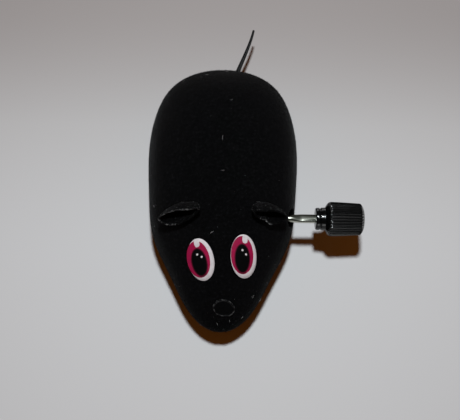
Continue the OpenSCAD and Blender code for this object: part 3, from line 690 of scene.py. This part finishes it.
def build_ear(name, node, side, root, width, turn, seed, crease, pale):
    """A cup of velvet, with a fold at the angle crease and a pale cut edge, painted with highlights,
    between the angles in pale.
    """
    origin, up = surface_point(root[0] * side, root[1])
    back = up.cross(Vector((1, 0, 0))).normalized()
    out = back.cross(up) * side
    rows, sides = 30, 150

    def at(s, a, inset):
        """s runs from the foot to the lip, a round the mouth from outwards over backwards."""
        g = mix(EAR_BASE, 1, math.sin(math.pi / 2 * s))
        grow = 1 - math.cos(math.pi / 2 * s)
        ca, sa = math.cos(a), math.sin(a)
        rear, front, inner = (1 + sa) / 2, max(-sa, 0), max(-ca, 0)
        lip = mix(EAR_LIFT[0], EAR_LIFT[1], rear) - EAR_DROP * front * inner
        lift = lip * grow + EAR_GAP + inset * (1 - s)
        half_depth = EAR_DEPTH[0 if sa < 0 else 1] / 2 * g * (1 - EAR_PINCH * inner)
        x = (width / 2 * g - inset) * ca
        y = max(half_depth - inset, half_depth / 4) * sa - mix(EAR_LEAN[0], EAR_LEAN[1], rear) * grow
        c, t = math.cos(turn), math.sin(turn)
        p = origin + up * lift + out * (x * c - y * t) + back * (x * t + y * c)
        slack = noise.noise(Vector((2.6 * ca + seed, 2.6 * sa, 1.4 * s)))
        pleat = math.exp(-((a % (2 * math.pi) - crease) / EAR_FOLD) ** 2) if crease else 0
        give = (up * 0.5 + back * 0.4) * slack * s * s * EAR_SLACK
        return p + give + (back * 0.5 + up * 0.3) * pleat * s * MM

    verts, bands = [], []

    def add(s, inset, rise, edge):
        for i in range(sides):
            p = at(s, 2 * math.pi * i / sides, inset) + up * rise
            verts.append(p + up * nap(p) * (1 + edge))
        bands.append(edge)

    for k in range(rows):
        add(k / (rows - 1), 0, 0, 0)
    for share, rise in ((0.05, 0.06), (0.25, 0.1), (0.5, 0.12), (0.75, 0.1), (0.95, 0.06)):
        add(1, EAR_T * share, rise * MM, 1)
    for k in range(rows):
        add(1 - k / (rows - 1), EAR_T, 0, 0)
    faces = grid_faces(len(bands), sides)
    whole = 2 * math.pi
    # painted highlight: the lip takes the pale cut-edge colour only between the angles in pale
    shows = [(whole * i / sides - pale[0]) % whole < pale[1] - pale[0] for i in range(sides)]
    face_mats = [bands[r] if shows[i] else 0 for r in range(len(bands) - 1) for i in range(sides)]
    for row in (0, len(bands) - 1):
        faces.append(list(range(row * sides, (row + 1) * sides)))
        face_mats.append(0)
    piece = new_piece(name, verts, faces, [EAR_VELVET, CUT_EDGE_PAINTED_GLINTS], face_mats=face_mats)
    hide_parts(node)
    build_ear_pile(name + "_pile", at, side)


def build_ear_pile(name, at, side):
    """Fibres all over an ear, and beads over its rear and its lip, pale with painted highlights."""
    verts, faces = [], []
    for _ in range(EAR_FIBRES):
        s, a = random.uniform(0.15, 1), random.uniform(0, 2 * math.pi)
        p = at(s, a, 0)
        normal = (at(s, a + 0.02, 0) - p).cross(at(s - 0.02, a, 0) - p).normalized() * side
        way = (normal + Vector([random.gauss(0, 0.4) for _ in range(3)])).normalized()
        tip = p + way * random.uniform(0.2, 0.4) * MM
        tetra(verts, faces, p - normal * FIBRE_ROOT, tip, FIBRE_THICK)
    face_mats = [0] * len(faces)
    # painted highlights: beads in the cut-edge colour, strewn over the rear and the lip
    for _ in range(EAR_BEADS):
        s, a = 1 - 0.75 * random.random() ** 2, random.uniform(0, math.pi)
        speck(verts, faces, at(s, a, 0), random.uniform(0.07, 0.17) * MM)
    face_mats += [1] * (len(faces) - len(face_mats))
    pile = new_piece(name, verts, faces, [EAR_VELVET, CUT_EDGE_PAINTED_GLINTS], face_mats=face_mats)


build_ear("velvet_ear_left", "ear_left", 1, root=(12.1 * MM, -9.3 * MM), width=11 * MM,
          turn=math.radians(-8), seed=3.1, crease=4.55, pale=(4.2, 5))
build_ear("velvet_ear_right", "ear_right", -1, root=(10.6 * MM, -9.8 * MM), width=13 * MM,
          turn=math.radians(-14), seed=8.7, crease=None, pale=(5, 9.7))


# ---- tail: one moulded taper with a collar where it meets the rump

TAIL_ROOT = Vector((3.6 * MM, LENGTH / 2 + 0.4 * MM, 9.5 * MM))
TAIL_CURVE = [TAIL_ROOT + Vector(p) * MM
              for p in ((0, 0, 0), (0.45, 3.3, 0.3), (4.3, 9.9, 2), (5.85, 16.7, 3.2))]
TAIL_R, TIP_R = 0.85 * MM, 0.375 * MM
TAIL_FLARE, TAIL_WAVE = 0.35, 0.012  # shares of the radius, at the root and all along


def bezier(p, t):
    return (p[0] * (1 - t) ** 3 + p[1] * 3 * t * (1 - t) ** 2
            + p[2] * 3 * t * t * (1 - t) + p[3] * t ** 3)


def build_tail():
    sides, steps = 28, 120
    # the collar inside the shell and the neck through it: distance in front of the root, radius
    inside_shell = ((4.55, 0.2), (4.55, 1.9), (4.4, 2.05), (3.6, 2.05), (3.4, 1.9), (3.4, 0.85),
                    (1.5, 0.85), (0.6, 0.85))
    centres = [(TAIL_ROOT - Vector((0, d * MM, 0)), r * MM) for d, r in inside_shell]
    for k in range(steps + 1):
        t = k / steps
        r = mix(TAIL_R, TIP_R, t)
        flare = 1 + TAIL_FLARE * smooth(1 - t / 0.04)
        bead = 1 + TAIL_WAVE * math.sin(t * 90)
        centres.append((bezier(TAIL_CURVE, t), r * flare * bead))
    tip = bezier(TAIL_CURVE, 1)
    way = (tip - bezier(TAIL_CURVE, 0.97)).normalized()
    for k in range(1, 6):
        h = math.pi / 2 * k / 6
        centres.append((tip + way * TIP_R * math.sin(h) * 0.7, TIP_R * math.cos(h)))
    verts = []
    for k, (c, r) in enumerate(centres):
        if k <= len(inside_shell):
            way = Vector((0, 1, 0))
        else:
            way = (centres[min(k + 1, len(centres) - 1)][0] - centres[k - 1][0]).normalized()
        side = Vector((0, 0, 1)).cross(way).normalized()
        up = way.cross(side)
        for i in range(sides):
            a = 2 * math.pi * i / sides
            verts.append(c + side * (r * math.cos(a)) + up * (r * math.sin(a)))
    faces = grid_faces(len(centres), sides)
    faces.append(list(range(sides))[::-1])
    faces.append(list(range((len(centres) - 1) * sides, len(centres) * sides)))
    piece = new_piece("rubber_tail", verts, faces, [TAIL_RUBBER])
    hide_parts("tail")


build_tail()


# ---- winding knob and shaft

KNOB_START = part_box("winding_knob")[0][0]
RIBS, RIB_DEEP = 36, 0.24 * MM


def build_knob():
    """A stepped collar and a slightly tapered barrel, ribbed between its shoulder and its free end."""
    outline = [(0, 0), (0, 3.0), (0.25, 3.22), (1.05, 3.27), (1.2, 3.05), (1.45, 3.05), (1.6, 3.3),
               (2.7, 3.35), (2.85, 3.45), (3.2, 4.1), (3.8, 4.68), (4.2, 4.78), (8.5, 4.61),
               (12.9, 4.36), (13.5, 3.95), (13.85, 3.2), (13.9, 2.2), (13.75, 2.0), (13.75, 0)]
    outline = rounded([(x * MM, r * MM) for x, r in outline], 0.22 * MM)
    fine = []
    for (x0, r0), (x1, r1) in zip(outline, outline[1:]):
        steps = max(1, int(math.hypot(x1 - x0, r1 - r0) / (0.35 * MM)))
        fine += [(mix(x0, x1, k / steps), mix(r0, r1, k / steps)) for k in range(steps)]
    fine.append(outline[-1])

    def ribbed(a, x, r):
        start, run_in, end, run_out = 2.9, 1.9, 13.6, 0.6
        reach = smooth((x / MM - start) / run_in) * smooth((end - x / MM) / run_out)
        wave = 0.5 + 0.5 * math.cos(a * RIBS)
        return r + RIB_DEEP * reach * wave ** 2

    verts, faces = revolve(fine, RIBS * 14, ribbed)
    verts = moved(verts, (KNOB_START, SHAFT_Y, SHAFT_Z))
    piece = new_piece("ribbed_knob", verts, faces, [KNOB_BLACK], body="winder")
    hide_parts("winding_knob")


def build_shaft():
    """Round wire with turned shoulders, pressed flat beside the knob."""
    sides = 64
    start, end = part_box("winding_shaft")[0][0], KNOB_START + 11.4 * MM
    flat_from, pressing = KNOB_START - 4.8 * MM, 3.4 * MM
    wire, flat_w, flat_h = 2.2, 2.5, 1.5
    sections = []

    def section(x, width, height, square):
        """square runs from 0 for an oval to 1 for a section with flattened sides."""
        sections.append((x, width / 2 * MM, height / 2 * MM, square))

    shoulders = [-6.9 * MM, -0.55 * MM, 6.2 * MM]
    section(start, 1.6, 1.6, 0)
    section(start + 0.25 * MM, wire, wire, 0)
    for x in shoulders:
        for dx, d in ((-0.001, wire), (0.0, 3.6), (0.1, 3.8), (0.6, 3.8), (0.7, 3.6), (0.701, wire)):
            section(x + dx * MM, d, d, 0)
    for k in range(17):
        t = smooth(k / 16)
        section(flat_from + (k / 16 - 0.7) * pressing, mix(wire, flat_w, t), mix(wire, flat_h, t), t)
    section(KNOB_START - 0.01 * MM, flat_w, flat_h, 1)
    section(KNOB_START + 0.05 * MM, wire, flat_h, 0.5)
    section(end, 2.1, flat_h, 0.5)
    verts = []
    for x, w, h, square in sections:
        n = mix(2, 3.6, square)
        for k in range(sides):
            a = 2 * math.pi * k / sides
            ca, sa = math.cos(a), math.sin(a)
            verts.append((x, SHAFT_Y + w * math.copysign(abs(ca) ** (2 / n), ca),
                          SHAFT_Z + h * math.copysign(abs(sa) ** (2 / n), sa)))
    faces = grid_faces(len(sections), sides, flip=True)
    faces.append(list(range(sides)))
    faces.append(list(range((len(sections) - 1) * sides, len(sections) * sides))[::-1])
    piece = new_piece("pressed_shaft", verts, faces, [DRAWN_STEEL], body="winder")
    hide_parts("winding_shaft")


build_knob()
build_shaft()


# ---- carried-over CAD nodes

FINISH = {
    "base_plate": BASE_BLACK, "ratchet_wheel": SCREW_STEEL, "great_wheel": GEAR_NYLON,
    "ratchet_click": CLICK_BRASS, "mainspring": SPRING_STEEL, "gear_frame_left": FRAME_WHITE,
    "gear_frame_right": FRAME_WHITE, "frame_screws": SCREW_STEEL, "idler_pin": DRAWN_STEEL,
    "idler_gear": GEAR_NYLON, "drive_axle": DRAWN_STEEL, "drive_pinion": GEAR_NYLON,
    "wheel_hub_left": WHEEL_BLACK, "wheel_hub_right": WHEEL_BLACK, "tyre_left": TYRE_RUBBER,
    "tyre_right": TYRE_RUBBER, "front_roller": WHEEL_BLACK, "front_pin": DRAWN_STEEL,
    "body_screws": SCREW_STEEL, "gearbox_screws": SCREW_STEEL,
}
for node, mat in FINISH.items():
    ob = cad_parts[node]
    ob.data.materials.clear()
    ob.data.materials.append(mat)


# ---- floor, light and camera

def build_stage():
    """A wide sheet of pale paper, with painted shade that makes it a little darker at its far side, and
    a painted glow far out.
    """
    s = Shader("pale_paper", (0.5, 0.5, 0.5), 0.85, Specular_IOR_Level=0.1, Emission_Strength=1.0)
    # painted shade: the paper's colour falls off towards its far side, as the light would
    painted_far_shade = s.ramp(s.beyond(-20, 80, (0, 1, 0)), (0.0, (0.49, 0.492, 0.497)),
                   (0.5, (0.43, 0.425, 0.425)), (1.0, (0.32, 0.3, 0.295)))
    s.link(painted_far_shade, s.bsdf.inputs["Base Color"])
    # painted glow: far out the paper emits light, though it is no lamp
    painted_glow = s.ramp(s.beyond(105, 330), (0.0, 0.0), (1.0, (0.5, 0.51, 0.515)))
    s.link(painted_glow, s.bsdf.inputs["Emission Color"])
    s.bump(s.noise(0.5, detail=3), 0.03, 0.2)
    half = 8  # metres
    mesh = bpy.data.meshes.new("floor")
    corners = [(-half, -half, 0), (half, -half, 0), (half, half, 0), (-half, half, 0)]
    mesh.from_pydata(corners, [], [(0, 1, 2, 3)])
    mesh.materials.append(s.mat)
    floor = bpy.data.objects.new("floor", mesh)
    bpy.context.scene.collection.objects.link(floor)
    return floor


ELEVATION = math.radians(70)
AZIMUTH = math.radians(0.7)
DISTANCE = 215 * MM
TARGET = Vector((2.4, -5.6, 15)) * MM
FOCAL_PIXELS, IMAGE_WIDTH, SENSOR = 720, 460, 36
TURN = Matrix.Rotation(AZIMUTH, 3, "Z")
BACK = TURN @ Vector((0, -math.cos(ELEVATION), math.sin(ELEVATION)))


def aim(ob, place, target):
    ob.location = place
    ob.rotation_euler = (place - target).to_track_quat("Z", "Y").to_euler()


def build_camera():
    data = bpy.data.cameras.new("camera")
    data.sensor_width = SENSOR
    data.lens = SENSOR * FOCAL_PIXELS / IMAGE_WIDTH
    data.clip_start = 0.005
    camera = bpy.data.objects.new("camera", data)
    bpy.context.scene.collection.objects.link(camera)
    aim(camera, TARGET + BACK * DISTANCE, TARGET)
    bpy.context.scene.camera = camera


def area_light(name, place, target, size, watts, color=(1, 1, 1)):
    data = bpy.data.lights.new(name, "AREA")
    data.shape = "DISK"
    data.size = size
    data.energy = watts
    data.color = color
    light = bpy.data.objects.new(name, data)
    bpy.context.scene.collection.objects.link(light)
    aim(light, place, target)
    return light


ROOM = (0.035, 0.035, 0.032, 1)
ROOM_ON_MATT = (0.11, 0.034, 0.005, 1)  # what diffuse rays find: it warms the shadows
ROOM_SEEN = (0.565, 0.54, 0.525, 1)     # what the camera sees past the floor
MIX_A, MIX_B, MIX_OUT = 6, 7, 2         # the colour sockets of a Mix node
LEFT_ALONE = ("pressed_shaft", "sticker_eye_left", "sticker_eye_right", "sticker_nose")


def build_light(left_alone):
    """A small key above, low soft boxes that leave some objects alone, and a dim warm room."""
    area_light("key", Vector((5, 7, 340)) * MM, Vector((5, 0, 0)) * MM, 26 * MM, 1.3, (0.9, 0.965, 1))
    kept_out = bpy.data.collections.new("left_alone")
    for k, ob in enumerate(left_alone):
        kept_out.objects.link(ob)
        kept_out.collection_objects[k].light_linking.link_state = "EXCLUDE"
    for name, place, watts in (("left", (500, 60, 45), 1.8), ("right", (-500, 60, 45), 1.8),
                               ("rear", (-60, 520, 45), 0.6), ("front", (60, -520, 45), 0.5)):
        box = area_light(name, Vector(place) * MM, TARGET, 260 * MM, watts)
        box.light_linking.receiver_collection = kept_out
    world = bpy.data.worlds.new("world")
    world.use_nodes = True
    tree = world.node_tree
    path = tree.nodes.new("ShaderNodeLightPath")
    room = [tree.nodes.new("ShaderNodeMix") for _ in range(2)]
    for mix_node in room:
        mix_node.data_type = "RGBA"
    room[0].inputs[MIX_A].default_value = ROOM
    room[0].inputs[MIX_B].default_value = ROOM_ON_MATT
    room[1].inputs[MIX_B].default_value = ROOM_SEEN
    tree.links.new(path.outputs["Is Diffuse Ray"], room[0].inputs["Factor"])
    tree.links.new(path.outputs["Is Camera Ray"], room[1].inputs["Factor"])
    tree.links.new(room[0].outputs[MIX_OUT], room[1].inputs[MIX_A])
    tree.links.new(room[1].outputs[MIX_OUT], tree.nodes["Background"].inputs["Color"])
    bpy.context.scene.world = world


paper = build_stage()
build_camera()
build_light([paper] + [bpy.data.objects[name] for name in LEFT_ALONE])
bpy.context.scene.view_settings.view_transform = "Standard"
